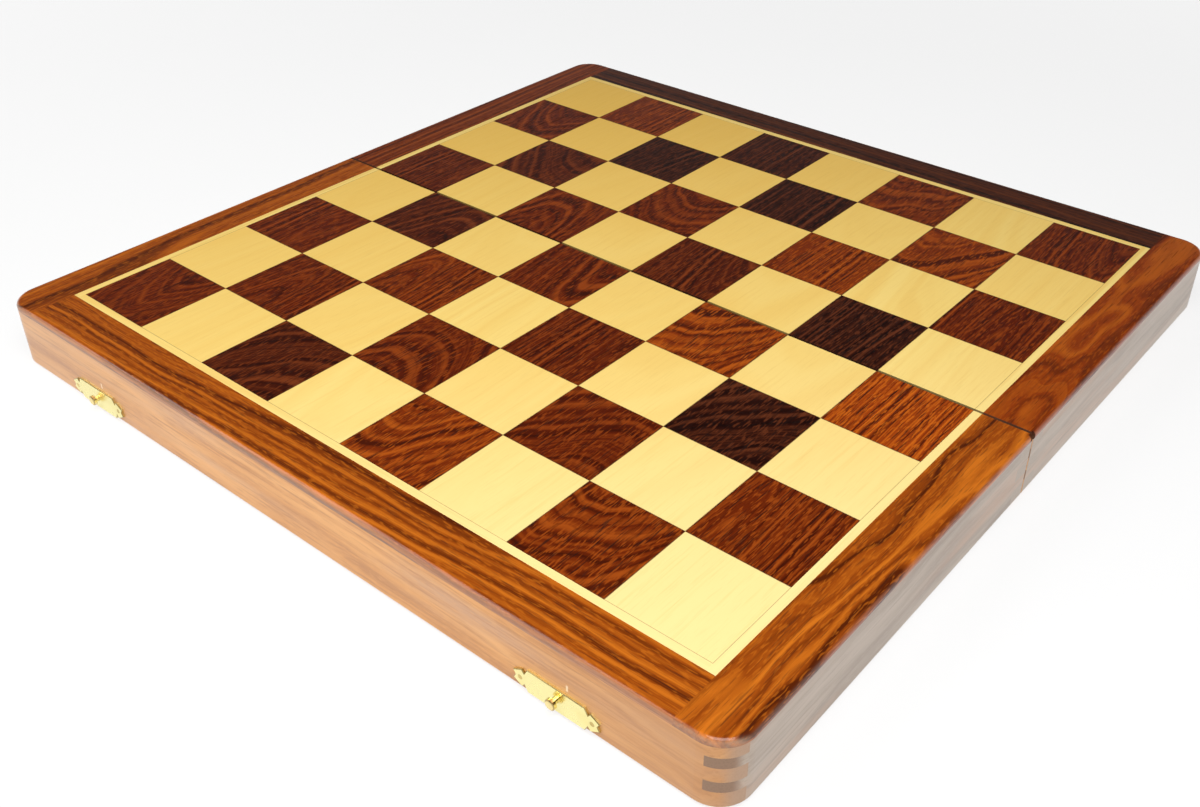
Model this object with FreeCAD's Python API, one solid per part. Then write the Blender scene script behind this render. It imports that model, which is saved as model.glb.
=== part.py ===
import FreeCAD, Part
import math
import os

# Folding chess board: two shallow trays of finger-jointed wood, hinged rim to rim, with the playing
# field laid over both lids. Turned rim to rim it is a box for the men, shut by two hook latches.
# Lengths are millimetres. +X runs along the fold, +Y from the studs to the hooks, +Z up.
# The origin lies under the middle of the open board, level with the bottom of the hinge knuckles.
# Every piece of a half is drawn on the front half, at negative Y, and mirrored for the back one.

# Playing field and its frame
square = 44.45
columns = 8
rows_per_half = 4
stringing_width = 3.6
border_width = 21.8

# Lid layers
top_thickness = 3.0
core_thickness = 4.0
felt_thickness = 1.0
felt_clearance = 0.3

# Walls. The finger heights run up from the rim and belong to the end wall and the side wall in turn.
finger_heights = (7.0, 4.6, 6.2, 4.6, 4.6)
wall_thickness = 10.0
rebate_depth = 5.0

# Outside edges and the gap between the halves
corner_radius = 13.0
top_round = 2.2
rim_round = 0.5
fold_ease = 0.6
fold_gap = 0.2

# Butt hinges, let into the rims of the two fold walls
hinge_inset = 88.0
hinge_length = 25.0
knuckle_count = 5
knuckle_radius = 1.3
knuckle_gap = 0.3
leaf_thickness = 0.8
leaf_margin = 1.5
pin_radius = 0.65
pin_clearance = 0.05
swing_clearance = 0.3
mortise_clearance = 0.1
screw_radius = 0.8
screw_head_radius = 1.6
screw_head_depth = 0.8
screw_length = 7.0
screw_spacing = 14.0
screw_slot_width = 0.45
screw_slot_depth = 0.35
fastener_clearance = 0.05

# Latch plates, the same on both halves, with an outline given for one quarter
latch_inset = 68.5
plate_length = 38.0
plate_height = 10.4
plate_thickness = 0.9
plate_bevel = 0.25
plate_margin = 0.2
plate_outline_shares = ((0.66, 1.0), (0.735, 0.5), (0.79, 0.78), (1.0, 0.34), (0.945, 0.0))
nail_place_share = 0.83
nail_radius = 0.5
nail_head_radius = 0.95
nail_head_depth = 0.4
nail_length = 7.0

# Studs, rivets and hooks
stem_radius = 1.2
stem_depth = 6.5
stud_head_radius = 2.2
stud_head_edge = 1.2
stud_head_crown = 0.8
rivet_head_radius = 2.5
rivet_head_edge = 0.4
rivet_head_crown = 0.9
hook_thickness = 1.2
hook_clearance = 0.2
rivet_clearance = 0.08
slot_clearance = 0.3
eye_radius = 3.3
hook_spine = 3.2
hook_throat = 2.3
hook_lip = 1.7
finger_run = 7.6
finger_rise = 4.4
finger_width = 2.6
tab_radius = 1.6
tab_crown = 0.6

overrun = 1.0
near = 0.001

# Levels and half sizes
axis_z = knuckle_radius
fold_face = fold_gap / 2
rim_z = axis_z + fold_face
wall_z = rim_z + sum(finger_heights)
core_z = wall_z - core_thickness
top_z = wall_z + top_thickness
half_field = columns * square / 2
half_width = half_field + stringing_width + border_width
half_depth = rows_per_half * square + stringing_width + border_width
hinge_x = half_width - hinge_inset
leaf_width = wall_thickness - leaf_margin
knuckle_length = (hinge_length - (knuckle_count - 1) * knuckle_gap) / knuckle_count
latch_x = half_width - latch_inset
latch_z = rim_z + plate_margin + plate_height / 2
stud_reach = 2 * (latch_z - axis_z)
grip = plate_thickness + 2 * hook_clearance + hook_thickness
latch_depth = grip + stud_head_edge + stud_head_crown

vec = FreeCAD.Vector
x_axis = vec(1, 0, 0)
y_axis = vec(0, 1, 0)
z_axis = vec(0, 0, 1)
origin = vec(0, 0, 0)


def box(x0, x1, y0, y1, z0, z1):
    return Part.makeBox(x1 - x0, y1 - y0, z1 - z0, vec(x0, y0, z0))


def prism(points, run):
    """The closed outline through the points, drawn along the run."""
    return Part.Face(Part.makePolygon(points + points[:1])).extrude(run)


def mirrored_x(shape):
    return shape.mirror(origin, x_axis)


def to_back(shape):
    return shape.mirror(origin, y_axis)


def half_envelope():
    """The outside form of one half: round corners, soft top edge and eased fold edges."""
    block = box(-half_width, half_width, -half_depth, -fold_face, rim_z, top_z)
    posts = [e for e in block.Edges if e.BoundBox.ZLength > near and e.BoundBox.YMax < -fold_face - near]
    block = block.makeFillet(corner_radius, posts)
    for radius, level in ((top_round, top_z), (rim_round, rim_z)):
        flat = [e for e in block.Edges if e.BoundBox.ZLength < near and abs(e.BoundBox.ZMin - level) < near]
        block = block.makeFillet(radius, [e for e in flat if e.BoundBox.YMin < -fold_face - near])
    out = fold_ease + overrun
    top_wedge = prism(
        [
            vec(-half_width - overrun, -fold_face - out, top_z + overrun),
            vec(-half_width - overrun, -fold_face + overrun, top_z + overrun),
            vec(-half_width - overrun, -fold_face + overrun, top_z - out),
        ],
        vec(2 * (half_width + overrun), 0, 0),
    )
    side_wedge = prism(
        [
            vec(half_width - out, -fold_face + overrun, rim_z - overrun),
            vec(half_width + overrun, -fold_face + overrun, rim_z - overrun),
            vec(half_width + overrun, -fold_face - out, rim_z - overrun),
        ],
        vec(0, 0, top_z - rim_z + 2 * overrun),
    )
    return block.cut(top_wedge).cut(side_wedge).cut(mirrored_x(side_wedge))


envelope = half_envelope()


def trimmed(shape):
    """The piece with the half's outside rounding worked on it."""
    return shape.common(envelope).removeSplitter().Solids[0]


def core_panel():
    """Plywood panel, dropped into the rebate round the top of the four walls."""
    inset = wall_thickness - rebate_depth
    panel = box(inset - half_width, half_width - inset, inset - half_depth, -fold_face - inset, core_z, wall_z)
    posts = [e for e in panel.Edges if e.BoundBox.ZLength > near and e.BoundBox.YMax < -fold_face - inset - near]
    return panel.makeFillet(corner_radius - inset, posts)


core = core_panel()


def finger_band(index):
    """Lower and upper level of one finger."""
    low = rim_z + sum(finger_heights[:index])
    return low, low + finger_heights[index]


def cross_wall(y0):
    """A wall along X, with sockets at both ends for the fingers of the side walls."""
    wall = box(-half_width, half_width, y0, y0 + wall_thickness, rim_z, wall_z)
    for index in range(1, len(finger_heights), 2):
        low, high = finger_band(index)
        y_low, y_high = y0 - overrun, y0 + wall_thickness + overrun
        socket = box(-half_width - overrun, wall_thickness - half_width, y_low, y_high, low, high)
        wall = wall.cut(socket).cut(mirrored_x(socket))
    return wall.cut(core)


def end_wall():
    """Outer wall, drilled for the latch stems and the plate nails."""
    wall = trimmed(cross_wall(-half_depth))
    for x in (-latch_x, latch_x):
        wall = wall.cut(facing_front(stem_hole(), x))
        for nail_x in nail_places(x):
            wall = wall.cut(facing_front(nail_hole(), nail_x))
    return wall


def fold_wall():
    """Wall beside the fold, with its rim let in for the hinges."""
    wall = trimmed(cross_wall(-fold_face - wall_thickness))
    for x in (-hinge_x, hinge_x):
        wall = wall.cut(hinge_mortise(x))
        for hole in screws_of(x, countersunk(fastener_clearance)):
            wall = wall.cut(hole)
    return wall


def left_wall():
    """Side wall, with fingers at both ends."""
    wall = box(-half_width, wall_thickness - half_width, -half_depth, -fold_face, rim_z, wall_z)
    for index in range(0, len(finger_heights), 2):
        low, high = finger_band(index)
        for y0, y1 in ((-half_depth - overrun, wall_thickness - half_depth),
                       (-fold_face - wall_thickness, overrun)):
            wall = wall.cut(box(-half_width - overrun, wall_thickness - half_width + overrun, y0, y1, low, high))
    return trimmed(wall.cut(core))


def end_border():
    """Top strip along the outer edge, butted between the two side strips."""
    inner = half_width - border_width
    return trimmed(box(-inner, inner, -half_depth, border_width - half_depth, wall_z, top_z))


def left_border():
    return trimmed(box(-half_width, border_width - half_width, -half_depth, -fold_face, wall_z, top_z))


def end_stringing():
    """Thin inlay between field and border."""
    outer = rows_per_half * square + stringing_width
    return box(-half_field, half_field, -outer, stringing_width - outer, wall_z, top_z)


def left_stringing():
    outer = half_field + stringing_width
    front = rows_per_half * square + stringing_width
    return trimmed(box(-outer, -half_field, -front, -fold_face, wall_z, top_z))


def squares(parity):
    """Every other square of the half; parity 0 includes the outer left corner."""
    pieces = []
    for row in range(rows_per_half):
        for column in range(columns):
            if (row + column) % 2 == parity:
                x0 = column * square - half_field
                y0 = (row - rows_per_half) * square
                pieces.append(trimmed(box(x0, x0 + square, y0, y0 + square, wall_z, top_z)))
    return Part.makeCompound(pieces)


def tray_felt():
    """Felt glued over the underside of the panel, inside the walls."""
    side = half_width - wall_thickness - felt_clearance
    front = half_depth - wall_thickness - felt_clearance
    back = fold_face + wall_thickness + felt_clearance
    return box(-side, side, -front, -back, core_z - felt_thickness, core_z)


def hinge_mortise(x):
    """Recess for one leaf, with a round groove for the knuckles."""
    half = hinge_length / 2 + mortise_clearance
    seat = box(x - half, x + half, -leaf_width - mortise_clearance, overrun, rim_z - overrun,
               rim_z + leaf_thickness)
    groove = Part.makeCylinder(knuckle_radius + swing_clearance, 2 * half, vec(x - half, 0, axis_z), x_axis)
    return seat.fuse(groove)


def hinge_leaf(x, knuckles):
    """One leaf with the knuckles of the given places, bored for the pin and countersunk."""
    start = x - hinge_length / 2
    edge = -knuckle_radius - swing_clearance
    leaf = box(start, start + hinge_length, -leaf_width, edge, rim_z, rim_z + leaf_thickness)
    for place in knuckles:
        x0 = start + place * (knuckle_length + knuckle_gap)
        leaf = leaf.fuse(box(x0, x0 + knuckle_length, edge, 0, rim_z, rim_z + leaf_thickness))
        leaf = leaf.fuse(Part.makeCylinder(knuckle_radius, knuckle_length, vec(x0, 0, axis_z), x_axis))
    bore = Part.makeCylinder(pin_radius + pin_clearance, hinge_length + 2 * overrun,
                             vec(start - overrun, 0, axis_z), x_axis)
    leaf = leaf.cut(bore)
    for hole in screws_of(x, countersunk(fastener_clearance)):
        leaf = leaf.cut(hole)
    return leaf.removeSplitter().Solids[0]


def hinge_pin(x):
    return Part.makeCylinder(pin_radius, hinge_length, vec(x - hinge_length / 2, 0, axis_z), x_axis)


def countersunk(clearance):
    """A flat-headed wood screw, point up, grown by the clearance."""
    shank = Part.makeCylinder(screw_radius + clearance, screw_length + clearance, origin, z_axis)
    head = Part.makeCone(screw_head_radius + clearance, screw_radius + clearance, screw_head_depth, origin, z_axis)
    return shank.fuse(head)


def screws_of(x, shape):
    """The shape at both screw places of one leaf."""
    y = -(leaf_width + knuckle_radius + swing_clearance) / 2
    return [shape.translated(vec(x + side * screw_spacing / 2, y, rim_z)) for side in (-1, 1)]


def hinge_screws():
    slot = box(-screw_head_radius - overrun, screw_head_radius + overrun, -screw_slot_width / 2,
               screw_slot_width / 2, -overrun, screw_slot_depth)
    screw = countersunk(0).cut(slot)
    return Part.makeCompound(screws_of(-hinge_x, screw) + screws_of(hinge_x, screw))


def facing_front(shape, x):
    """A shape drawn standing on Z = 0, set on the front face at latch height."""
    turned = shape.rotated(origin, x_axis, 90)
    return turned.translated(vec(x, -half_depth, latch_z))


def nail_places(x):
    offset = nail_place_share * plate_length / 2
    return x - offset, x + offset


def stem_hole():
    radius = stem_radius + fastener_clearance
    return Part.makeCylinder(radius, stem_depth + plate_thickness + overrun, vec(0, 0, -stem_depth), z_axis)


def nail(clearance):
    """A small flat-headed nail, its head flush with the plate."""
    shank = Part.makeCylinder(nail_radius + clearance, nail_length, vec(0, 0, plate_thickness - nail_length), z_axis)
    head = Part.makeCylinder(nail_head_radius + clearance, nail_head_depth,
                             vec(0, 0, plate_thickness - nail_head_depth), z_axis)
    return shank.fuse(head).removeSplitter()


def nail_hole():
    return nail(fastener_clearance)


def plate_nails():
    places = nail_places(-latch_x) + nail_places(latch_x)
    return Part.makeCompound([facing_front(nail(0), x) for x in places])


def latch_plate(x):
    """Cut brass plate with a waist and a forked tail at each end."""
    quarter = [(u * plate_length / 2, v * plate_height / 2) for u, v in plate_outline_shares]
    right = quarter + [(u, -v) for u, v in quarter[-2::-1]]
    outline = right + [(-u, -v) for u, v in right]
    plate = prism([vec(u, v, 0) for u, v in outline], vec(0, 0, plate_thickness))
    rim = [e for e in plate.Edges if e.BoundBox.ZMin > plate_thickness - near]
    plate = facing_front(plate.makeChamfer(plate_bevel, rim).cut(stem_hole()), x)
    for nail_x in nail_places(x):
        plate = plate.cut(facing_front(nail_hole(), nail_x))
    return plate


def headed_stem(head_radius, edge, crown):
    """A stem let into the wall, with a round head that is crowned above a straight edge."""
    ball = (head_radius**2 + crown**2) / (2 * crown)
    centre = grip + edge + crown - ball
    half_turn = math.asin(head_radius / ball) / 2
    low = vec(stem_radius, 0, -stem_depth)
    neck = vec(stem_radius, 0, grip)
    under = vec(head_radius, 0, grip)
    shoulder = vec(head_radius, 0, grip + edge)
    middle = vec(ball * math.sin(half_turn), 0, centre + ball * math.cos(half_turn))
    crest = vec(0, 0, grip + edge + crown)
    foot = vec(0, 0, -stem_depth)
    lines = [Part.makePolygon([crest, foot, low, neck, under, shoulder]).Edges]
    lines.append([Part.Arc(shoulder, middle, crest).toShape()])
    wire = Part.Wire([edge_line for group in lines for edge_line in group])
    return Part.Face(wire).revolve(origin, z_axis, 360).Solids[0]


def stud(x):
    return facing_front(headed_stem(stud_head_radius, stud_head_edge, stud_head_crown), x)


def hook_rivet(x):
    return facing_front(headed_stem(rivet_head_radius, rivet_head_edge, rivet_head_crown), x)


def hook(x):
    """Flat brass hook, parked along +X, with a curved slot for the stud and a turned-out finger tab."""
    slot_radius = stem_radius + slot_clearance
    arm_end = stud_reach + slot_radius + hook_lip
    tip = vec(stud_reach + finger_run, finger_rise, 0)
    eye = Part.makeCylinder(eye_radius, hook_thickness, origin, z_axis)
    arm = box(0, arm_end, -hook_throat, hook_spine, 0, hook_thickness)
    posts = [e for e in arm.Edges if e.BoundBox.ZLength > near and e.BoundBox.XMin > near]
    arm = arm.makeFillet(hook_lip / 2, posts)
    root = vec(stud_reach + slot_radius, hook_spine - finger_width / 2, 0)
    along = tip - root
    across = vec(-along.y, along.x, 0).normalize() * (finger_width / 2)
    finger = prism([root + across, root - across, tip - across, tip + across], vec(0, 0, hook_thickness))
    tab_height = latch_depth - plate_thickness - hook_clearance
    tab = Part.makeCylinder(tab_radius, tab_height, tip, z_axis)
    tab = tab.makeFillet(tab_crown, [e for e in tab.Edges if e.BoundBox.ZMin > tab_height - near])
    blank = eye.fuse(arm).fuse(finger).fuse(tab)
    ring = Part.makeCylinder(stud_reach + slot_radius, hook_thickness, origin, z_axis)
    ring = ring.cut(Part.makeCylinder(stud_reach - slot_radius, hook_thickness, origin, z_axis))
    below = box(0, arm_end + overrun, -arm_end, 0, 0, hook_thickness)
    slot = ring.common(below).fuse(Part.makeCylinder(slot_radius, hook_thickness, vec(stud_reach, 0, 0), z_axis))
    bore = Part.makeCylinder(stem_radius + rivet_clearance, hook_thickness, origin, z_axis)
    shape = blank.cut(slot).cut(bore).removeSplitter().Solids[0]
    return facing_front(shape.translated(vec(0, 0, plate_thickness + hook_clearance)), x)


nodes = {
    "front_wall": end_wall(),
    "front_fold_wall": fold_wall(),
    "front_left_wall": left_wall(),
    "front_core_panel": core,
    "front_border": end_border(),
    "front_left_border": left_border(),
    "front_stringing": end_stringing(),
    "front_left_stringing": left_stringing(),
    "front_tray_felt": tray_felt(),
    "front_hinge_screws": hinge_screws(),
}
for name in ("wall", "border", "stringing"):
    nodes[f"front_right_{name}"] = mirrored_x(nodes[f"front_left_{name}"])
for name in list(nodes):
    nodes[name.replace("front", "back", 1)] = to_back(nodes[name])

nodes["front_dark_squares"] = squares(0)
nodes["front_light_squares"] = squares(1)
nodes["back_dark_squares"] = to_back(squares(1))
nodes["back_light_squares"] = to_back(squares(0))
nodes["stud_plate_nails"] = plate_nails()
nodes["hook_plate_nails"] = to_back(plate_nails())

for side, sign in (("left", -1), ("right", 1)):
    nodes[f"{side}_hinge_front_leaf"] = hinge_leaf(sign * hinge_x, range(0, knuckle_count, 2))
    nodes[f"{side}_hinge_back_leaf"] = to_back(hinge_leaf(sign * hinge_x, range(1, knuckle_count, 2)))
    nodes[f"{side}_hinge_pin"] = hinge_pin(sign * hinge_x)
    nodes[f"{side}_stud_plate"] = latch_plate(sign * latch_x)
    nodes[f"{side}_stud"] = stud(sign * latch_x)
    nodes[f"{side}_hook_plate"] = to_back(latch_plate(sign * latch_x))
    nodes[f"{side}_hook_rivet"] = to_back(hook_rivet(sign * latch_x))
    nodes[f"{side}_hook"] = to_back(hook(sign * latch_x))

os.makedirs("parts", exist_ok=True)
for name, shape in nodes.items():
    shape.exportStep(f"parts/{name}.step")
    print(name, len(shape.Solids), "solid(s)", round(shape.Volume), "mm3", "valid" if shape.isValid() else "NOT VALID")
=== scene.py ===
import math
import bmesh
import bpy
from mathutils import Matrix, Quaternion, Vector, noise


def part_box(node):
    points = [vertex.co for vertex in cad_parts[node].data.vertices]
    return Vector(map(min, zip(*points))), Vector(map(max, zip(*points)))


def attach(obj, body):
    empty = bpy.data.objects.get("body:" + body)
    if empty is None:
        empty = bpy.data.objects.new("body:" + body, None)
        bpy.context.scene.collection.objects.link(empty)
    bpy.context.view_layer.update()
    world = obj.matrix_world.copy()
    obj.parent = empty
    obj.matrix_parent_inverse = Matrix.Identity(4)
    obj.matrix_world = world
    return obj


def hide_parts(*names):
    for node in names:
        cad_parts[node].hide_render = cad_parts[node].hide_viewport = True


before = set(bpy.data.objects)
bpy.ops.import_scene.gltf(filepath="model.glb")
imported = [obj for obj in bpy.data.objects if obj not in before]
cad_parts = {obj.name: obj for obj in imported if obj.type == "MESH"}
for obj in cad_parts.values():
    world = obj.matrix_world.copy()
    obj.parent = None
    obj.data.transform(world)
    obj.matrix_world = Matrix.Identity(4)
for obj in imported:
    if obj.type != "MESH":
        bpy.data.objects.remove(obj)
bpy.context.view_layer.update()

# Walls of the two trays: planed rosewood sapwood boards, finger-jointed at the corners and glued.
# The grain runs pale along each board and shows dark in the ends of the fingers, under thin lacquer.
# A small pale vertical mark is drawn on the front wall, to the right of each stud.


def put(tree, kind, options=None, inputs=None):
    """One shader node, with its options set and its sockets filled or linked."""
    made = tree.nodes.new(kind)
    for key, value in (options or {}).items():
        setattr(made, key, value)
    for key, value in (inputs or {}).items():
        if isinstance(value, bpy.types.NodeSocket):
            tree.links.new(value, made.inputs[key])
        else:
            made.inputs[key].default_value = value
    return made


def sums(tree, operation, first, second=0.0, third=0.0):
    made = put(tree, "ShaderNodeMath", {"operation": operation}, {0: first, 1: second, 2: third})
    return made.outputs[0]


def vectors(tree, operation, first, second=(0.0, 0.0, 0.0)):
    made = put(tree, "ShaderNodeVectorMath", {"operation": operation}, {0: first, 1: second})
    return made.outputs[0]


def fade(tree, value, low, high, at_low=0.0, at_high=1.0):
    """A smooth step from one value to another between two limits."""
    options = {"interpolation_type": "SMOOTHSTEP"}
    inputs = {"Value": value, "From Min": low, "From Max": high, "To Min": at_low, "To Max": at_high}
    return put(tree, "ShaderNodeMapRange", options, inputs).outputs["Result"]


def tones(tree, value, stops):
    """A colour ramp through (place, colour) stops."""
    made = put(tree, "ShaderNodeValToRGB", inputs={"Fac": value})
    ramp = made.color_ramp
    while len(ramp.elements) < len(stops):
        ramp.elements.new(1.0)
    for element, (place, colour) in zip(ramp.elements, stops):
        element.position = place
        element.color = (*colour, 1.0)
    return made.outputs["Color"]


def blend(tree, share, first, second):
    """A mix of two colours, each given as a colour or as a socket."""
    made = put(tree, "ShaderNodeMix", {"data_type": "RGBA"})
    for index, value in ((0, share), (6, first), (7, second)):
        if isinstance(value, bpy.types.NodeSocket):
            tree.links.new(value, made.inputs[index])
        else:
            made.inputs[index].default_value = (*value, 1.0) if isinstance(value, tuple) else value
    return made.outputs[2]


def noisy(tree, place, stretch, detail=2.0):
    """Noise on a stretched place, so that it runs long along the grain."""
    stretched = vectors(tree, "MULTIPLY", place, stretch)
    return put(tree, "ShaderNodeTexNoise", inputs={"Vector": stretched, "Scale": 1.0, "Detail": detail})


def timber_group():
    """Growth rings cut by a board whose grain runs along X, with its fibres and pores."""
    tree = bpy.data.node_groups.new("timber_figure", "ShaderNodeTree")
    face = tree.interface
    face.new_socket("Place", in_out="INPUT", socket_type="NodeSocketVector")
    for name in ("Ring Scale", "Pith Depth", "Slope", "Wander"):
        face.new_socket(name, in_out="INPUT", socket_type="NodeSocketFloat")
    for name in ("Rings", "Fibre", "Dashes", "Pores"):
        face.new_socket(name, in_out="OUTPUT", socket_type="NodeSocketFloat")
    given = tree.nodes.new("NodeGroupInput").outputs
    sway = noisy(tree, given["Place"], (9.0, 34.0, 34.0)).outputs["Color"]
    sway = vectors(tree, "SUBTRACT", sway, (0.5, 0.5, 0.5))
    sway = vectors(tree, "MULTIPLY", sway, given["Wander"])
    swayed = vectors(tree, "ADD", given["Place"], sway)
    bent = put(tree, "ShaderNodeSeparateXYZ", inputs={0: swayed}).outputs
    rise = sums(tree, "MULTIPLY_ADD", bent["X"], given["Slope"], given["Pith Depth"])
    rise = sums(tree, "ADD", rise, bent["Z"])
    section = put(tree, "ShaderNodeCombineXYZ", inputs={"X": bent["Y"], "Y": rise}).outputs[0]
    radius = put(tree, "ShaderNodeVectorMath", {"operation": "LENGTH"}, {0: section}).outputs["Value"]
    count = sums(tree, "MULTIPLY", radius, given["Ring Scale"])
    steps = {"W": count, "Scale": 1.0, "Detail": 3.0}
    rings = put(tree, "ShaderNodeTexNoise", {"noise_dimensions": "1D"}, steps)
    fibre = noisy(tree, given["Place"], (26.0, 700.0, 700.0), 3.0)
    dashes = noisy(tree, given["Place"], (210.0, 1250.0, 1250.0), 1.0)
    elsewhere = vectors(tree, "ADD", given["Place"], (0.7, 0.3, 0.1))
    pores = noisy(tree, elsewhere, (95.0, 1700.0, 1700.0), 1.0)
    inputs = {
        "Rings": rings.outputs["Fac"],
        "Fibre": fibre.outputs["Fac"],
        "Dashes": fade(tree, dashes.outputs["Fac"], 0.52, 0.66),
        "Pores": fade(tree, pores.outputs["Fac"], 0.58, 0.70),
    }
    put(tree, "NodeGroupOutput", inputs=inputs)
    return tree


timber = timber_group()


def figure(tree, place, ring_scale, pith_depth, slope, wander):
    """The timber group, placed in a material."""
    inputs = {
        "Place": place,
        "Ring Scale": ring_scale,
        "Pith Depth": pith_depth,
        "Slope": slope,
        "Wander": wander,
    }
    return put(tree, "ShaderNodeGroup", {"node_tree": timber}, inputs).outputs


def finish(name, roughness):
    """An empty material with its Principled shader."""
    made = bpy.data.materials.new(name)
    made.use_nodes = True
    shader = made.node_tree.nodes["Principled BSDF"]
    shader.inputs["Roughness"].default_value = roughness
    return made, made.node_tree, shader


def relief(tree, shader, height, depth, strength=0.3):
    """A bump on the surface, from a height between 0 and 1."""
    made = put(tree, "ShaderNodeBump", inputs={"Height": height, "Distance": depth, "Strength": strength})
    tree.links.new(made.outputs["Normal"], shader.inputs["Normal"])


def grain_place(tree, turn, seed):
    """Object coordinates with the grain turned on to X and moved to its own part of the log."""
    place = put(tree, "ShaderNodeTexCoord").outputs["Object"]
    inputs = {"Vector": place, "Rotation": (0.0, 0.0, turn), "Location": seed}
    return put(tree, "ShaderNodeMapping", inputs=inputs).outputs[0]


def lay(node_name, material):
    """Give a CAD node its finish."""
    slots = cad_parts[node_name].data.materials
    slots.clear()
    slots.append(material)


brown_haze = (0.56, 0.335, 0.215)
open_end_grain = (0.13, 0.075, 0.045)


def wall_timber(name, turn, seed, pale, mid, dark, end, post):
    """Wall finish; post gives the tilts between which the round corner turns into end grain."""
    made, tree, shader = finish(name, 0.36)
    shader.inputs["Coat Weight"].default_value = 0.25
    shader.inputs["Coat Roughness"].default_value = 0.14
    shader.inputs["Specular IOR Level"].default_value = 0.2
    place = grain_place(tree, turn, seed)
    marks = figure(tree, place, 300.0, 0.035, 0.06, 0.012)
    patch = noisy(tree, place, (9.0, 90.0, 90.0), 2.0).outputs["Fac"]
    shift = sums(tree, "MULTIPLY_ADD", patch, 0.5, sums(tree, "MULTIPLY", marks["Rings"], 0.5))
    colour = tones(tree, shift, ((0.39, dark), (0.49, mid), (0.60, pale)))
    elsewhere = vectors(tree, "ADD", place, (3.1, 0.4, 0.2))
    haze = noisy(tree, elsewhere, (6.0, 70.0, 70.0), 2.0).outputs["Fac"]
    colour = blend(tree, fade(tree, haze, 0.45, 0.70, 0.0, 0.65), colour, brown_haze)
    colour = blend(tree, fade(tree, marks["Fibre"], 0.50, 0.72, 0.0, 0.60), colour, dark)
    colour = blend(tree, sums(tree, "MULTIPLY", marks["Dashes"], 0.25), colour, pale)
    colour = blend(tree, sums(tree, "MULTIPLY", marks["Pores"], 0.30), colour, dark)
    outward = put(tree, "ShaderNodeTexCoord").outputs["Normal"]
    across = put(tree, "ShaderNodeSeparateXYZ", inputs={0: outward}).outputs["Y" if turn else "X"]
    cut = fade(tree, sums(tree, "ABSOLUTE", across), *post)
    speckle = noisy(tree, place, (1600.0, 1600.0, 1600.0), 1.0).outputs["Fac"]
    ends = blend(tree, fade(tree, speckle, 0.45, 0.70, 0.0, 0.16), end, open_end_grain)
    colour = blend(tree, cut, colour, ends)
    return made, tree, shader, colour, marks


peach = (
    (0.80, 0.405, 0.145),
    (0.67, 0.310, 0.100),
    (0.43, 0.180, 0.065),
    (0.43, 0.335, 0.26),
    (0.55, 0.90),
)
# Side walls: the same wood painted greyer and duller, a painted reflection of white haze in the lacquer.
side_wall_reflection_tones = (
    (0.50, 0.400, 0.320),
    (0.44, 0.345, 0.27),
    (0.33, 0.250, 0.19),
    (0.28, 0.165, 0.100),
    (0.30, 0.62),
)
right_end_brown = (0.47, 0.235, 0.105)
left_end_pink = (0.58, 0.355, 0.225)
pale_mark_colour = (0.98, 0.80, 0.55)
end_shades = {"front_wall": (0.11, 0.02, 0.0), "back_wall": (0.43, 0.05, 0.01)}
fold_shades = {"front_fold_wall": (0.71, 0.03, 0.0), "back_fold_wall": (0.97, 0.04, 0.01)}
side_shades = {
    "front_left_wall": (0.21, 0.03, 0.0),
    "front_right_wall": (0.33, 0.06, 0.0),
    "back_left_wall": (0.55, 0.01, 0.01),
    "back_right_wall": (0.83, 0.05, 0.01),
}
quarter_turn = math.pi / 2
wall_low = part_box("front_wall")[0]
stud_low, stud_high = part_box("right_stud")
stud_x = (stud_low.x + stud_high.x) / 2
pale_mark_offset = 0.0045
pale_mark_width = 0.0006
pale_mark_low = 0.0115
pale_mark_high = 0.0148
for wall, seed in {**end_shades, **fold_shades}.items():
    material, tree, shader, colour, marks = wall_timber(f"{wall}_timber", 0.0, seed, *peach)
    if wall == "front_wall":
        spot = put(tree, "ShaderNodeTexCoord").outputs["Object"]
        spot = put(tree, "ShaderNodeSeparateXYZ", inputs={0: spot}).outputs
        colour = blend(tree, fade(tree, spot["X"], 0.09, 0.20, 0.0, 0.55), colour, right_end_brown)
        colour = blend(tree, fade(tree, spot["X"], -0.20, -0.06, 0.35, 0.0), colour, left_end_pink)
        # A small pale vertical mark, a little to the right of each stud.
        beside = sums(tree, "WRAP", sums(tree, "ADD", spot["X"], stud_x), 2 * stud_x, 0.0)
        aside = sums(tree, "ABSOLUTE", sums(tree, "SUBTRACT", beside, pale_mark_offset))
        pale_mark = fade(tree, aside, pale_mark_width / 2, pale_mark_width, 1.0, 0.0)
        above = sums(tree, "SUBTRACT", spot["Z"], wall_low.z)
        pale_mark = sums(tree, "MULTIPLY", pale_mark, fade(tree, above, pale_mark_low, pale_mark_low + pale_mark_width))
        pale_mark = sums(tree, "MULTIPLY", pale_mark, fade(tree, above, pale_mark_high - pale_mark_width, pale_mark_high, 1.0, 0.0))
        colour = blend(tree, sums(tree, "MULTIPLY", pale_mark, 0.7), colour, pale_mark_colour)
    tree.links.new(colour, shader.inputs["Base Color"])
    relief(tree, shader, marks["Fibre"], 0.0002)
    lay(wall, material)
for wall, seed in side_shades.items():
    # The side walls take the greyer tones of the painted reflection.
    material, tree, shader, colour, marks = wall_timber(f"{wall}_timber", quarter_turn, seed, *side_wall_reflection_tones)
    tree.links.new(colour, shader.inputs["Base Color"])
    relief(tree, shader, marks["Fibre"], 0.0002)
    lay(wall, material)

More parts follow.
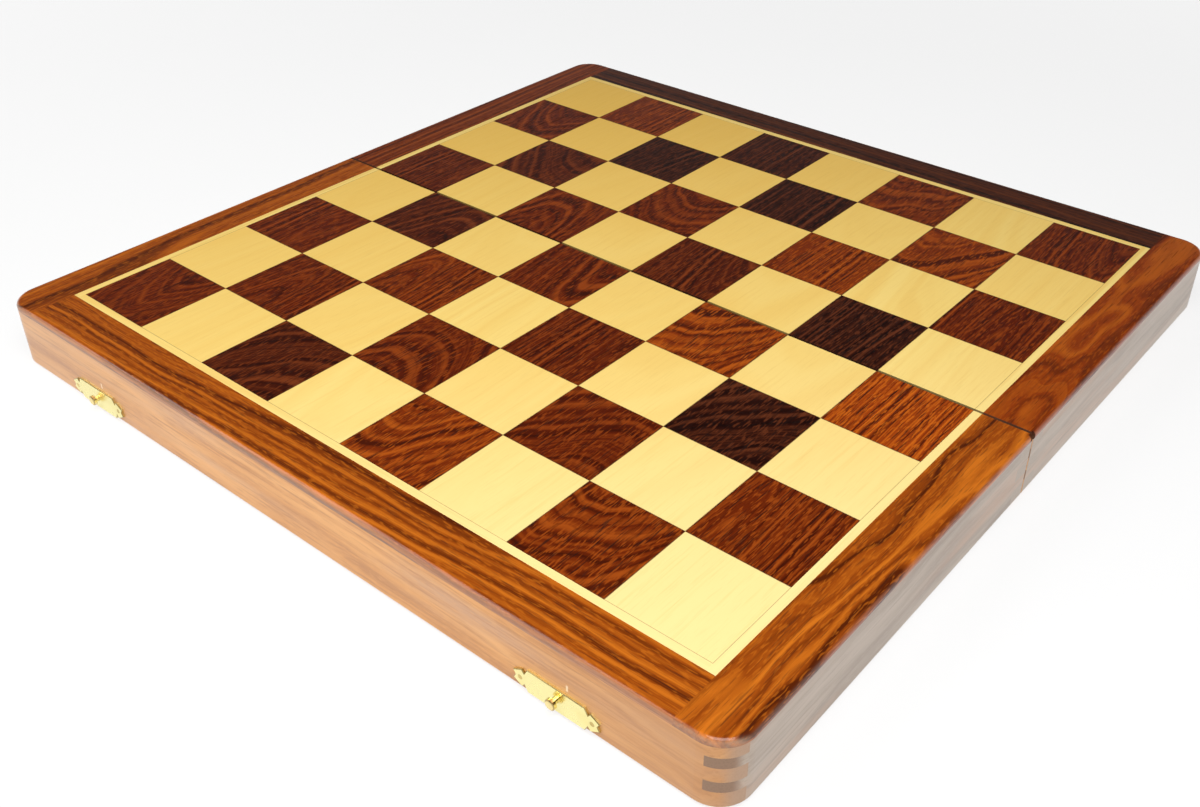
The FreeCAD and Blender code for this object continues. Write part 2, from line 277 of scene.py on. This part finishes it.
# Core panels: birch plywood dropped into the rebate round the top of the walls and glued down.
# The field hides them from above and the felt from below, so they are left raw.
material, tree, shader = finish("raw_plywood", 0.75)
marks = figure(tree, grain_place(tree, 0.0, (0.2, 0.0, 0.0)), 120.0, 0.05, 0.02, 0.02)
colour = tones(tree, marks["Rings"], ((0.3, (0.52, 0.34, 0.18)), (0.7, (0.68, 0.48, 0.28))))
tree.links.new(colour, shader.inputs["Base Color"])
relief(tree, shader, marks["Fibre"], 0.0002)
lay("front_core_panel", material)
lay("back_core_panel", material)

# Border strips: rosewood strips glued over the wall tops, their outer edge rounded after the glue-up.
# Side strips run the whole depth of a half and the end strip is butted between them.
# Each strip comes from another board, so the colour changes at every joint.


def fold_arris_group():
    """The eased arris along the fold: dulled lacquer, and a dark line of painted shade in the seam."""
    tree = bpy.data.node_groups.new("fold_arris", "ShaderNodeTree")
    tree.interface.new_socket("Line", in_out="OUTPUT", socket_type="NodeSocketFloat")
    place = put(tree, "ShaderNodeTexCoord").outputs
    upright = put(tree, "ShaderNodeSeparateXYZ", inputs={0: place["Normal"]}).outputs["Z"]
    from_fold = put(tree, "ShaderNodeSeparateXYZ", inputs={0: place["Object"]}).outputs["Y"]
    tilted = fade(tree, upright, 0.90, 0.985, 1.0, 0.0)
    beside = fade(tree, sums(tree, "ABSOLUTE", from_fold), 0.0015, 0.0025, 1.0, 0.0)
    put(tree, "NodeGroupOutput", inputs={"Line": sums(tree, "MULTIPLY", tilted, beside)})
    return tree


fold_arris = fold_arris_group()
# Painted shade: the colour of the dark line laid along the fold seam.
fold_seam_shade = (0.020, 0.007, 0.003)


def rosewood_group():
    """Reddish wood with dark veins and pores, and short pale dashes where cut fibres catch the light."""
    tree = bpy.data.node_groups.new("rosewood", "ShaderNodeTree")
    face = tree.interface
    for name in ("Rings", "Fibre", "Dashes", "Pores", "Contrast"):
        face.new_socket(name, in_out="INPUT", socket_type="NodeSocketFloat")
    for name in ("Dark", "Mid", "Bright"):
        face.new_socket(name, in_out="INPUT", socket_type="NodeSocketColor")
    face.new_socket("Color", in_out="OUTPUT", socket_type="NodeSocketColor")
    given = tree.nodes.new("NodeGroupInput").outputs
    colour = given["Dark"]
    for low, high, tone in ((0.30, 0.48, "Mid"), (0.48, 0.72, "Bright")):
        inputs = {"Value": given["Rings"], "From Min": low, "From Max": high}
        share = put(tree, "ShaderNodeMapRange", inputs=inputs).outputs["Result"]
        colour = blend(tree, share, colour, given[tone])
    vein = fade(tree, given["Fibre"], 0.48, 0.70, 0.0, sums(tree, "MULTIPLY", given["Contrast"], 0.60))
    colour = blend(tree, vein, colour, given["Dark"])
    dash = sums(tree, "MULTIPLY", given["Dashes"], sums(tree, "MULTIPLY", given["Contrast"], 0.75))
    colour = blend(tree, dash, colour, given["Bright"])
    pore = sums(tree, "MULTIPLY", given["Pores"], sums(tree, "MULTIPLY", given["Contrast"], 0.72))
    colour = blend(tree, pore, colour, (0.014, 0.004, 0.002))
    put(tree, "NodeGroupOutput", inputs={"Color": colour})
    return tree


red_timber = rosewood_group()


def rosewood(tree, marks, dark, mid, bright, contrast=1.0):
    """The rosewood group, placed in a material with its own three tones."""
    inputs = {"Dark": (*dark, 1.0), "Mid": (*mid, 1.0), "Bright": (*bright, 1.0), "Contrast": contrast}
    for name in ("Rings", "Fibre", "Dashes", "Pores"):
        inputs[name] = marks[name]
    return put(tree, "ShaderNodeGroup", {"node_tree": red_timber}, inputs).outputs["Color"]


def lacquer(tree, shader, colour, open_pores, gloss=0.28):
    """Clear lacquer over the wood: glossy on the flat, dull in the pores and gone from the fold."""
    line = put(tree, "ShaderNodeGroup", {"node_tree": fold_arris}).outputs["Line"]
    # Painted shade: a dark line along the fold, where the seam would lie in shadow.
    seam_shaded = blend(tree, sums(tree, "MULTIPLY", line, 0.85), colour, fold_seam_shade)
    tree.links.new(seam_shaded, shader.inputs["Base Color"])
    rough = fade(tree, open_pores, 0.0, 1.0, gloss, 0.5)
    tree.links.new(sums(tree, "MAXIMUM", rough, line), shader.inputs["Roughness"])
    tree.links.new(sums(tree, "MULTIPLY_ADD", line, -0.42, 0.42), shader.inputs["Coat Weight"])
    shader.inputs["Coat Roughness"].default_value = 0.07
    shader.inputs["Specular IOR Level"].default_value = 0.12


def rounding_highlight_group():
    """How much painted highlight the rounded outer edge gets, most of all along the front."""
    tree = bpy.data.node_groups.new("rounding_highlight", "ShaderNodeTree")
    face = tree.interface
    for name in ("Fibre", "Side Highlight"):
        face.new_socket(name, in_out="INPUT", socket_type="NodeSocketFloat")
    face.new_socket("Highlight", in_out="OUTPUT", socket_type="NodeSocketFloat")
    given = tree.nodes.new("NodeGroupInput").outputs
    outward = put(tree, "ShaderNodeTexCoord").outputs["Normal"]
    outward = put(tree, "ShaderNodeSeparateXYZ", inputs={0: outward}).outputs
    rounding = fade(tree, outward["Z"], 0.55, 0.97, 1.0, 0.0)
    edge = sums(tree, "MULTIPLY", rounding, fade(tree, given["Fibre"], 0.2, 0.6, 1.0, 0.7))
    reach = fade(tree, outward["Y"], -0.45, -0.10, front_highlight, given["Side Highlight"])
    put(tree, "NodeGroupOutput", inputs={"Highlight": sums(tree, "MULTIPLY", edge, reach)})
    return tree


# Painted highlight on the rounded border edges: its share along the front, and its pale grey colour.
front_highlight = 0.60
rounding_highlight = rounding_highlight_group()
painted_edge_highlight = (0.42, 0.30, 0.205)
border_contrast = 0.55


def border_timber(name, turn, seed, vein, side_highlight, dark, mid, bright):
    made, tree, shader = finish(name, 0.30)
    marks = figure(tree, grain_place(tree, turn, seed), *vein)
    colour = rosewood(tree, marks, dark, mid, bright, border_contrast)
    inputs = {"Fibre": marks["Fibre"], "Side Highlight": side_highlight}
    edge_highlight = put(tree, "ShaderNodeGroup", {"node_tree": rounding_highlight}, inputs).outputs["Highlight"]
    # Painted highlight: the rounded outer edge is painted paler and greyer, most along the front.
    colour = blend(tree, edge_highlight, colour, painted_edge_highlight)
    lacquer(tree, shader, colour, marks["Pores"])
    relief(tree, shader, marks["Fibre"], 0.00015)
    return made


amber = ((0.085, 0.013, 0.001), (0.29, 0.056, 0.003), (0.57, 0.150, 0.010))
chestnut = ((0.080, 0.011, 0.001), (0.25, 0.036, 0.002), (0.42, 0.090, 0.006))
russet = ((0.050, 0.007, 0.001), (0.16, 0.023, 0.003), (0.30, 0.062, 0.007))
umber = ((0.008, 0.002, 0.001), (0.045, 0.009, 0.003), (0.15, 0.036, 0.008))
straight = (900.0, 0.020, 0.012, 0.004)
wavy = (330.0, 0.014, 0.045, 0.028)
border_boards = {
    "front_border": (0.0, (0.13, 0.175, 0.0), straight, front_highlight, amber),
    "front_right_border": (quarter_turn, (0.37, -0.163, 0.0), wavy, 0.10, amber),
    "back_right_border": (quarter_turn, (0.92, -0.170, 0.0), wavy, 0.10, chestnut),
    "front_left_border": (quarter_turn, (0.64, 0.180, 0.0), straight, 0.10, amber),
    "back_left_border": (quarter_turn, (0.05, 0.165, 0.0), straight, 0.10, russet),
    "back_border": (0.0, (0.48, -0.165, 0.0), straight, 0.25, umber),
}
for strip, (turn, seed, vein, side_highlight, shades) in border_boards.items():
    lay(strip, border_timber(f"{strip}_timber", turn, seed, vein, side_highlight, *shades))

# Squares: sawn and sanded tiles of two woods, glued edge to edge, with the grain across the fold.
# The dark ones are rosewood, each from another offcut, and the pale ones maple with hardly any figure.
# A hair of dark glue shows in every joint.
field_low, field_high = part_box("front_stringing")
squares_across = 8
square = (field_high.x - field_low.x) / squares_across
joint_width = 0.00022
offcut_order = (42.0, 26.0, 4.0)


def square_group():
    """What belongs to one square: its own tone, its own part of the log, and the dark joint round it."""
    tree = bpy.data.node_groups.new("square_cell", "ShaderNodeTree")
    face = tree.interface
    face.new_socket("Place", in_out="OUTPUT", socket_type="NodeSocketVector")
    for name in ("Tone", "Other Tone", "Joint"):
        face.new_socket(name, in_out="OUTPUT", socket_type="NodeSocketFloat")
    place = put(tree, "ShaderNodeTexCoord").outputs["Object"]
    share = vectors(tree, "DIVIDE", place, (square, square, 1.0))
    cell = vectors(tree, "MULTIPLY", vectors(tree, "FLOOR", share), (1.0, 1.0, 0.0))
    cell = vectors(tree, "ADD", cell, offcut_order)
    chance = put(tree, "ShaderNodeTexWhiteNoise", inputs={"Vector": cell}).outputs
    parts = put(tree, "ShaderNodeSeparateColor", inputs={0: chance["Color"]}).outputs
    shift = vectors(tree, "SUBTRACT", chance["Color"], (0.5, 0.5, 0.5))
    shift = vectors(tree, "MULTIPLY", shift, (0.060, 0.9, 0.012))
    middle = vectors(tree, "SUBTRACT", vectors(tree, "FRACTION", share), (0.5, 0.5, 0.5))
    middle = vectors(tree, "MULTIPLY", middle, (square, square, 0.0))
    moved = vectors(tree, "ADD", middle, shift)
    inputs = {"Vector": moved, "Rotation": (0.0, 0.0, quarter_turn)}
    turned = put(tree, "ShaderNodeMapping", inputs=inputs).outputs[0]
    reach = put(tree, "ShaderNodeSeparateXYZ", inputs={0: vectors(tree, "ABSOLUTE", middle)}).outputs
    inset = sums(tree, "SUBTRACT", square / 2, sums(tree, "MAXIMUM", reach["X"], reach["Y"]))
    joint = fade(tree, inset, joint_width / 2, joint_width * 1.5, 1.0, 0.0)
    inputs = {"Place": turned, "Tone": chance["Value"], "Other Tone": parts[1], "Joint": joint}
    put(tree, "NodeGroupOutput", inputs=inputs)
    return tree


square_cell = square_group()
material, tree, shader = finish("dark_square_timber", 0.30)
cell = put(tree, "ShaderNodeGroup", {"node_tree": square_cell}).outputs
slope = fade(tree, cell["Other Tone"], 0.0, 1.0, -0.25, 0.25)
marks = figure(tree, cell["Place"], 560.0, 0.018, slope, 0.008)
deep = rosewood(tree, marks, (0.008, 0.0010, 0.0004), (0.022, 0.0026, 0.0006), (0.120, 0.028, 0.009))
brown = rosewood(tree, marks, (0.042, 0.0040, 0.0004), (0.104, 0.0105, 0.0008), (0.270, 0.048, 0.005))
warm = rosewood(tree, marks, (0.085, 0.010, 0.001), (0.300, 0.042, 0.002), (0.560, 0.120, 0.007))
colour = blend(tree, fade(tree, cell["Tone"], 0.10, 0.25), deep, brown)
colour = blend(tree, fade(tree, cell["Tone"], 0.60, 1.00), colour, warm)
colour = blend(tree, sums(tree, "MULTIPLY", cell["Joint"], 0.8), colour, (0.010, 0.003, 0.001))
lacquer(tree, shader, colour, marks["Pores"])
relief(tree, shader, marks["Fibre"], 0.00015)
lay("front_dark_squares", material)
lay("back_dark_squares", material)


def corner_light_group():
    """How far a place lies towards the front right corner, for the painted light and shade on the maple.
    """
    tree = bpy.data.node_groups.new("toward_near", "ShaderNodeTree")
    tree.interface.new_socket("Toward Near Corner", in_out="OUTPUT", socket_type="NodeSocketFloat")
    spot = put(tree, "ShaderNodeTexCoord").outputs["Object"]
    spot = put(tree, "ShaderNodeSeparateXYZ", inputs={0: spot}).outputs
    put(tree, "NodeGroupOutput", inputs={"Toward Near Corner": sums(tree, "SUBTRACT", spot["X"], spot["Y"])})
    return tree


corner_light = corner_light_group()
# Painted light: the pale colour of the maple towards the near corner.
painted_near_light = (0.94, 0.770, 0.355)
material, tree, shader = finish("pale_square_timber", 0.32)
cell = put(tree, "ShaderNodeGroup", {"node_tree": square_cell}).outputs
marks = figure(tree, cell["Place"], 200.0, 0.030, 0.10, 0.008)
colour = tones(
    tree, marks["Rings"],
    ((0.30, (0.89, 0.610, 0.170)), (0.50, (0.915, 0.655, 0.195)), (0.70, (0.93, 0.690, 0.220))),
)
colour = blend(tree, fade(tree, cell["Tone"], 0.0, 1.0, 0.0, 0.45), colour, (0.88, 0.585, 0.155))
toward_near = put(tree, "ShaderNodeGroup", {"node_tree": corner_light}).outputs["Toward Near Corner"]
# Painted shade deepens the maple towards the far corner, and painted light pales it near the front right.
colour = blend(tree, fade(tree, toward_near, -0.36, 0.14, 0.85, 0.0), colour, (0.84, 0.505, 0.085))
colour = blend(tree, fade(tree, toward_near, 0.05, 0.36, 0.0, 0.75), colour, painted_near_light)
colour = blend(tree, fade(tree, marks["Fibre"], 0.52, 0.75, 0.0, 0.22), colour, (0.78, 0.47, 0.11))
colour = blend(tree, sums(tree, "MULTIPLY", marks["Pores"], 0.08), colour, (0.55, 0.30, 0.06))
colour = blend(tree, sums(tree, "MULTIPLY", cell["Joint"], 0.6), colour, (0.10, 0.035, 0.010))
lacquer(tree, shader, colour, marks["Fibre"], 0.24)
relief(tree, shader, marks["Fibre"], 0.00008)
lay("front_light_squares", material)
lay("back_light_squares", material)

# Stringing: thin strips of the same maple, inlaid between the field and the border.
# The grain runs along each strip.


def stringing_timber(name, turn, seed):
    made, tree, shader = finish(name, 0.32)
    marks = figure(tree, grain_place(tree, turn, seed), 300.0, 0.02, 0.03, 0.006)
    stops = ((0.30, (0.87, 0.585, 0.155)), (0.70, (0.93, 0.690, 0.220)))
    colour = tones(tree, marks["Rings"], stops)
    toward_near = put(tree, "ShaderNodeGroup", {"node_tree": corner_light}).outputs["Toward Near Corner"]
    # Painted light pales the maple towards the near corner.
    colour = blend(tree, fade(tree, toward_near, 0.05, 0.36, 0.0, 0.75), colour, painted_near_light)
    colour = blend(tree, fade(tree, marks["Fibre"], 0.50, 0.75, 0.0, 0.25), colour, (0.74, 0.45, 0.10))
    lacquer(tree, shader, colour, marks["Fibre"], 0.24)
    relief(tree, shader, marks["Fibre"], 0.00008)
    return made


end_string = stringing_timber("end_stringing_timber", 0.0, (0.31, 0.17, 0.0))
side_string = stringing_timber("side_stringing_timber", quarter_turn, (0.77, 0.05, 0.0))
for half in ("front", "back"):
    lay(f"{half}_stringing", end_string)
    lay(f"{half}_left_stringing", side_string)
    lay(f"{half}_right_stringing", side_string)

# Tray linings: green baize glued to the underside of each panel, cut a little smaller than the tray.
# The wool lies almost flat, with slight waves where the glue has pulled it.
nap = 0.00014
baize, tree, shader = finish("green_baize", 0.95)
shader.inputs["Sheen Weight"].default_value = 0.35
shader.inputs["Sheen Roughness"].default_value = 0.5
shader.inputs["Specular IOR Level"].default_value = 0.15
place = put(tree, "ShaderNodeTexCoord").outputs["Object"]
cloud = noisy(tree, place, (45.0, 45.0, 45.0), 3.0).outputs["Fac"]
fuzz = noisy(tree, place, (1500.0, 1500.0, 1500.0), 3.0).outputs["Fac"]
colour = tones(tree, cloud, ((0.35, (0.010, 0.085, 0.028)), (0.65, (0.018, 0.130, 0.045))))
colour = blend(tree, fade(tree, fuzz, 0.40, 0.65, 0.0, 0.5), colour, (0.030, 0.190, 0.075))
tree.links.new(colour, shader.inputs["Base Color"])
relief(tree, shader, fuzz, 0.0004, 0.6)
for half in ("front", "back"):
    low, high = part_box(f"{half}_tray_felt")
    width, length, thick = high - low
    mesh = bpy.data.meshes.new(f"{half}_tray_lining")
    form = bmesh.new()
    bmesh.ops.create_grid(form, x_segments=120, y_segments=60, size=0.5)
    bmesh.ops.scale(form, vec=(width, length, 1.0), verts=form.verts)
    bmesh.ops.translate(form, vec=(low + high) / 2, verts=form.verts)
    for point in form.verts:
        point.co.z += nap * noise.noise(point.co * 60.0)
    form.to_mesh(mesh)
    form.free()
    lining = bpy.data.objects.new(f"{half}_tray_lining", mesh)
    bpy.context.scene.collection.objects.link(lining)
    mesh.materials.append(baize)
    for face in mesh.polygons:
        face.use_smooth = True
    cut = lining.modifiers.new("thickness", "SOLIDIFY")
    cut.thickness = thick - 3 * nap
    cut.offset = 0.0
    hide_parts(f"{half}_tray_felt")
    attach(lining, f"{half}_half")

# Hinges: two small brass butts, let into the rims of the fold walls and turning on steel pins.
# Countersunk brass screws hold the leaves.


def brass_age_and_reflection_group():
    """Faint tarnish, fine drawing lines, and a painted dark reflection on the bevelled arrises."""
    tree = bpy.data.node_groups.new("brass_age_and_reflection", "ShaderNodeTree")
    for name in ("Tarnish", "Lines", "Bevel Reflection"):
        tree.interface.new_socket(name, in_out="OUTPUT", socket_type="NodeSocketFloat")
    place = put(tree, "ShaderNodeTexCoord").outputs
    slant = vectors(tree, "ABSOLUTE", place["Normal"])
    slant = put(tree, "ShaderNodeSeparateXYZ", inputs={0: slant}).outputs
    flat = sums(tree, "MAXIMUM", slant["X"], sums(tree, "MAXIMUM", slant["Y"], slant["Z"]))
    inputs = {
        "Tarnish": noisy(tree, place["Object"], (140.0, 140.0, 140.0), 3.0).outputs["Fac"],
        "Lines": noisy(tree, place["Object"], (120.0, 4200.0, 4200.0), 2.0).outputs["Fac"],
        "Bevel Reflection": fade(tree, flat, 0.80, 0.90, 0.75, 0.0),
    }
    put(tree, "NodeGroupOutput", inputs=inputs)
    return tree


brass_age_and_reflection = brass_age_and_reflection_group()
# Painted reflection: the dark colour laid on the bevels of the brass.
painted_bevel_reflection = (0.26, 0.15, 0.04)


def brass(name, bright, dull, roughness):
    """Rolled or turned brass, between its bright and its tarnished colour."""
    made, tree, shader = finish(name, roughness)
    shader.inputs["Metallic"].default_value = 1.0
    age = put(tree, "ShaderNodeGroup", {"node_tree": brass_age_and_reflection}).outputs
    colour = blend(tree, fade(tree, age["Tarnish"], 0.45, 0.75, 0.0, 0.6), bright, dull)
    # Painted reflection: the bevels are darkened as if they mirrored something dark.
    colour = blend(tree, age["Bevel Reflection"], colour, painted_bevel_reflection)
    tree.links.new(colour, shader.inputs["Base Color"])
    rough = sums(tree, "MULTIPLY_ADD", fade(tree, age["Tarnish"], 0.35, 0.7), 0.10, roughness)
    tree.links.new(rough, shader.inputs["Roughness"])
    relief(tree, shader, age["Lines"], 0.00002, 0.2)
    return made


rolled_brass = brass("rolled_brass", (0.93, 0.72, 0.30), (0.72, 0.48, 0.16), 0.26)
screw_brass = brass("screw_brass", (0.80, 0.58, 0.24), (0.50, 0.31, 0.11), 0.34)
pin_steel, tree, shader = finish("pin_steel", 0.32)
shader.inputs["Metallic"].default_value = 1.0
place = put(tree, "ShaderNodeTexCoord").outputs["Object"]
stain = noisy(tree, place, (400.0, 400.0, 400.0), 3.0).outputs["Fac"]
colour = blend(tree, fade(tree, stain, 0.45, 0.7), (0.60, 0.59, 0.57), (0.38, 0.35, 0.32))
tree.links.new(colour, shader.inputs["Base Color"])
for side in ("left", "right"):
    lay(f"{side}_hinge_front_leaf", rolled_brass)
    lay(f"{side}_hinge_back_leaf", rolled_brass)
    lay(f"{side}_hinge_pin", pin_steel)
lay("front_hinge_screws", screw_brass)
lay("back_hinge_screws", screw_brass)

# Latches: stamped brass plates with forked tails, nailed to the end walls.
# The front ones carry a turned stud, the back ones a flat hook that swings on a rivet.
# The hook drops over the stud when the box is shut.
plate_brass = brass("plate_brass", (0.92, 0.83, 0.39), (0.88, 0.76, 0.31), 0.26)
turned_brass = brass("turned_brass", (0.93, 0.76, 0.36), (0.66, 0.44, 0.16), 0.20)
nail_brass = brass("nail_brass", (0.74, 0.58, 0.22), (0.42, 0.28, 0.09), 0.38)
for side in ("left", "right"):
    lay(f"{side}_stud_plate", plate_brass)
    lay(f"{side}_hook_plate", plate_brass)
    lay(f"{side}_stud", turned_brass)
    lay(f"{side}_hook_rivet", turned_brass)
    lay(f"{side}_hook", turned_brass)
lay("stud_plate_nails", nail_brass)
lay("hook_plate_nails", nail_brass)

# Studio: a white milk-glass table that takes a faint shadow, a dim ceiling and two soft lamps.
# The key lamp is the larger one, at the front left, and the other hangs above the near corner.
mesh = bpy.data.meshes.new("floor")
form = bmesh.new()
bmesh.ops.create_grid(form, x_segments=1, y_segments=1, size=4.0)
form.to_mesh(mesh)
form.free()
floor = bpy.data.objects.new("floor", mesh)
bpy.context.scene.collection.objects.link(floor)
material, tree, shader = finish("milk_glass", 0.9)
shader.inputs["Base Color"].default_value = (0.92, 0.92, 0.92, 1.0)
shader.inputs["Specular IOR Level"].default_value = 0.0
spread = put(tree, "ShaderNodeTexCoord").outputs["Object"]
spread = put(tree, "ShaderNodeVectorMath", {"operation": "LENGTH"}, {0: spread}).outputs["Value"]
cloudy = fade(tree, spread, 0.35, 1.3, 0.25, 0.0)
behind = put(tree, "ShaderNodeNewGeometry").outputs["Backfacing"]
seen_from_above = sums(tree, "SUBTRACT", 1.0, behind)
tree.links.new(sums(tree, "MULTIPLY", cloudy, seen_from_above), shader.inputs["Alpha"])
mesh.materials.append(material)

world = bpy.data.worlds.new("studio")
world.use_nodes = True
bpy.context.scene.world = world
tree = world.node_tree
toward = put(tree, "ShaderNodeTexCoord").outputs["Generated"]
height = put(tree, "ShaderNodeSeparateXYZ", inputs={0: toward}).outputs["Z"]
shade = fade(tree, height, 0.06, 0.36, 1.0, 0.04)
tree.links.new(shade, tree.nodes["Background"].inputs["Strength"])
tree.nodes["Background"].inputs["Color"].default_value = (1.0, 1.0, 1.0, 1.0)


def direction(azimuth, elevation):
    """From the board towards a lamp or camera, by its angles in degrees."""
    turn = math.radians(azimuth)
    rise = math.radians(elevation)
    return Vector((math.sin(turn) * math.cos(rise), -math.cos(turn) * math.cos(rise), math.sin(rise)))


def soft_lamp(name, azimuth, elevation, distance, size, power):
    """A square softbox that looks at the middle of the board."""
    lamp = bpy.data.lights.new(name, "AREA")
    lamp.size = size
    lamp.energy = power
    made = bpy.data.objects.new(name, lamp)
    bpy.context.scene.collection.objects.link(made)
    away = direction(azimuth, elevation)
    made.location = away * distance
    made.rotation_euler = away.to_track_quat("Z", "Y").to_euler()


soft_lamp("key", -45.0, 40.0, 1.4, 0.9, 9.0)
soft_lamp("near", 42.0, 56.0, 0.95, 0.6, 8.2)

# Camera: a lens of normal length, above the front right corner and turned towards the fold.
# Its angles, distance and shift give the photograph's view of the board.
aim = Vector((0.0368, -0.0507, 0.0160))
camera_distance = 0.5609
camera_roll = math.radians(0.31)
away = direction(39.32, 33.60)
lens = bpy.data.cameras.new("camera")
lens.sensor_width = 36.0
lens.lens = 38.18
lens.shift_x = -0.0190
lens.shift_y = -0.0273
camera = bpy.data.objects.new("camera", lens)
bpy.context.scene.collection.objects.link(camera)
camera.location = aim + away * camera_distance
roll = Quaternion((0.0, 0.0, 1.0), camera_roll)
camera.rotation_euler = (away.to_track_quat("Z", "Y") @ roll).to_euler()
bpy.context.scene.camera = camera
bpy.context.scene.view_settings.view_transform = "Standard"
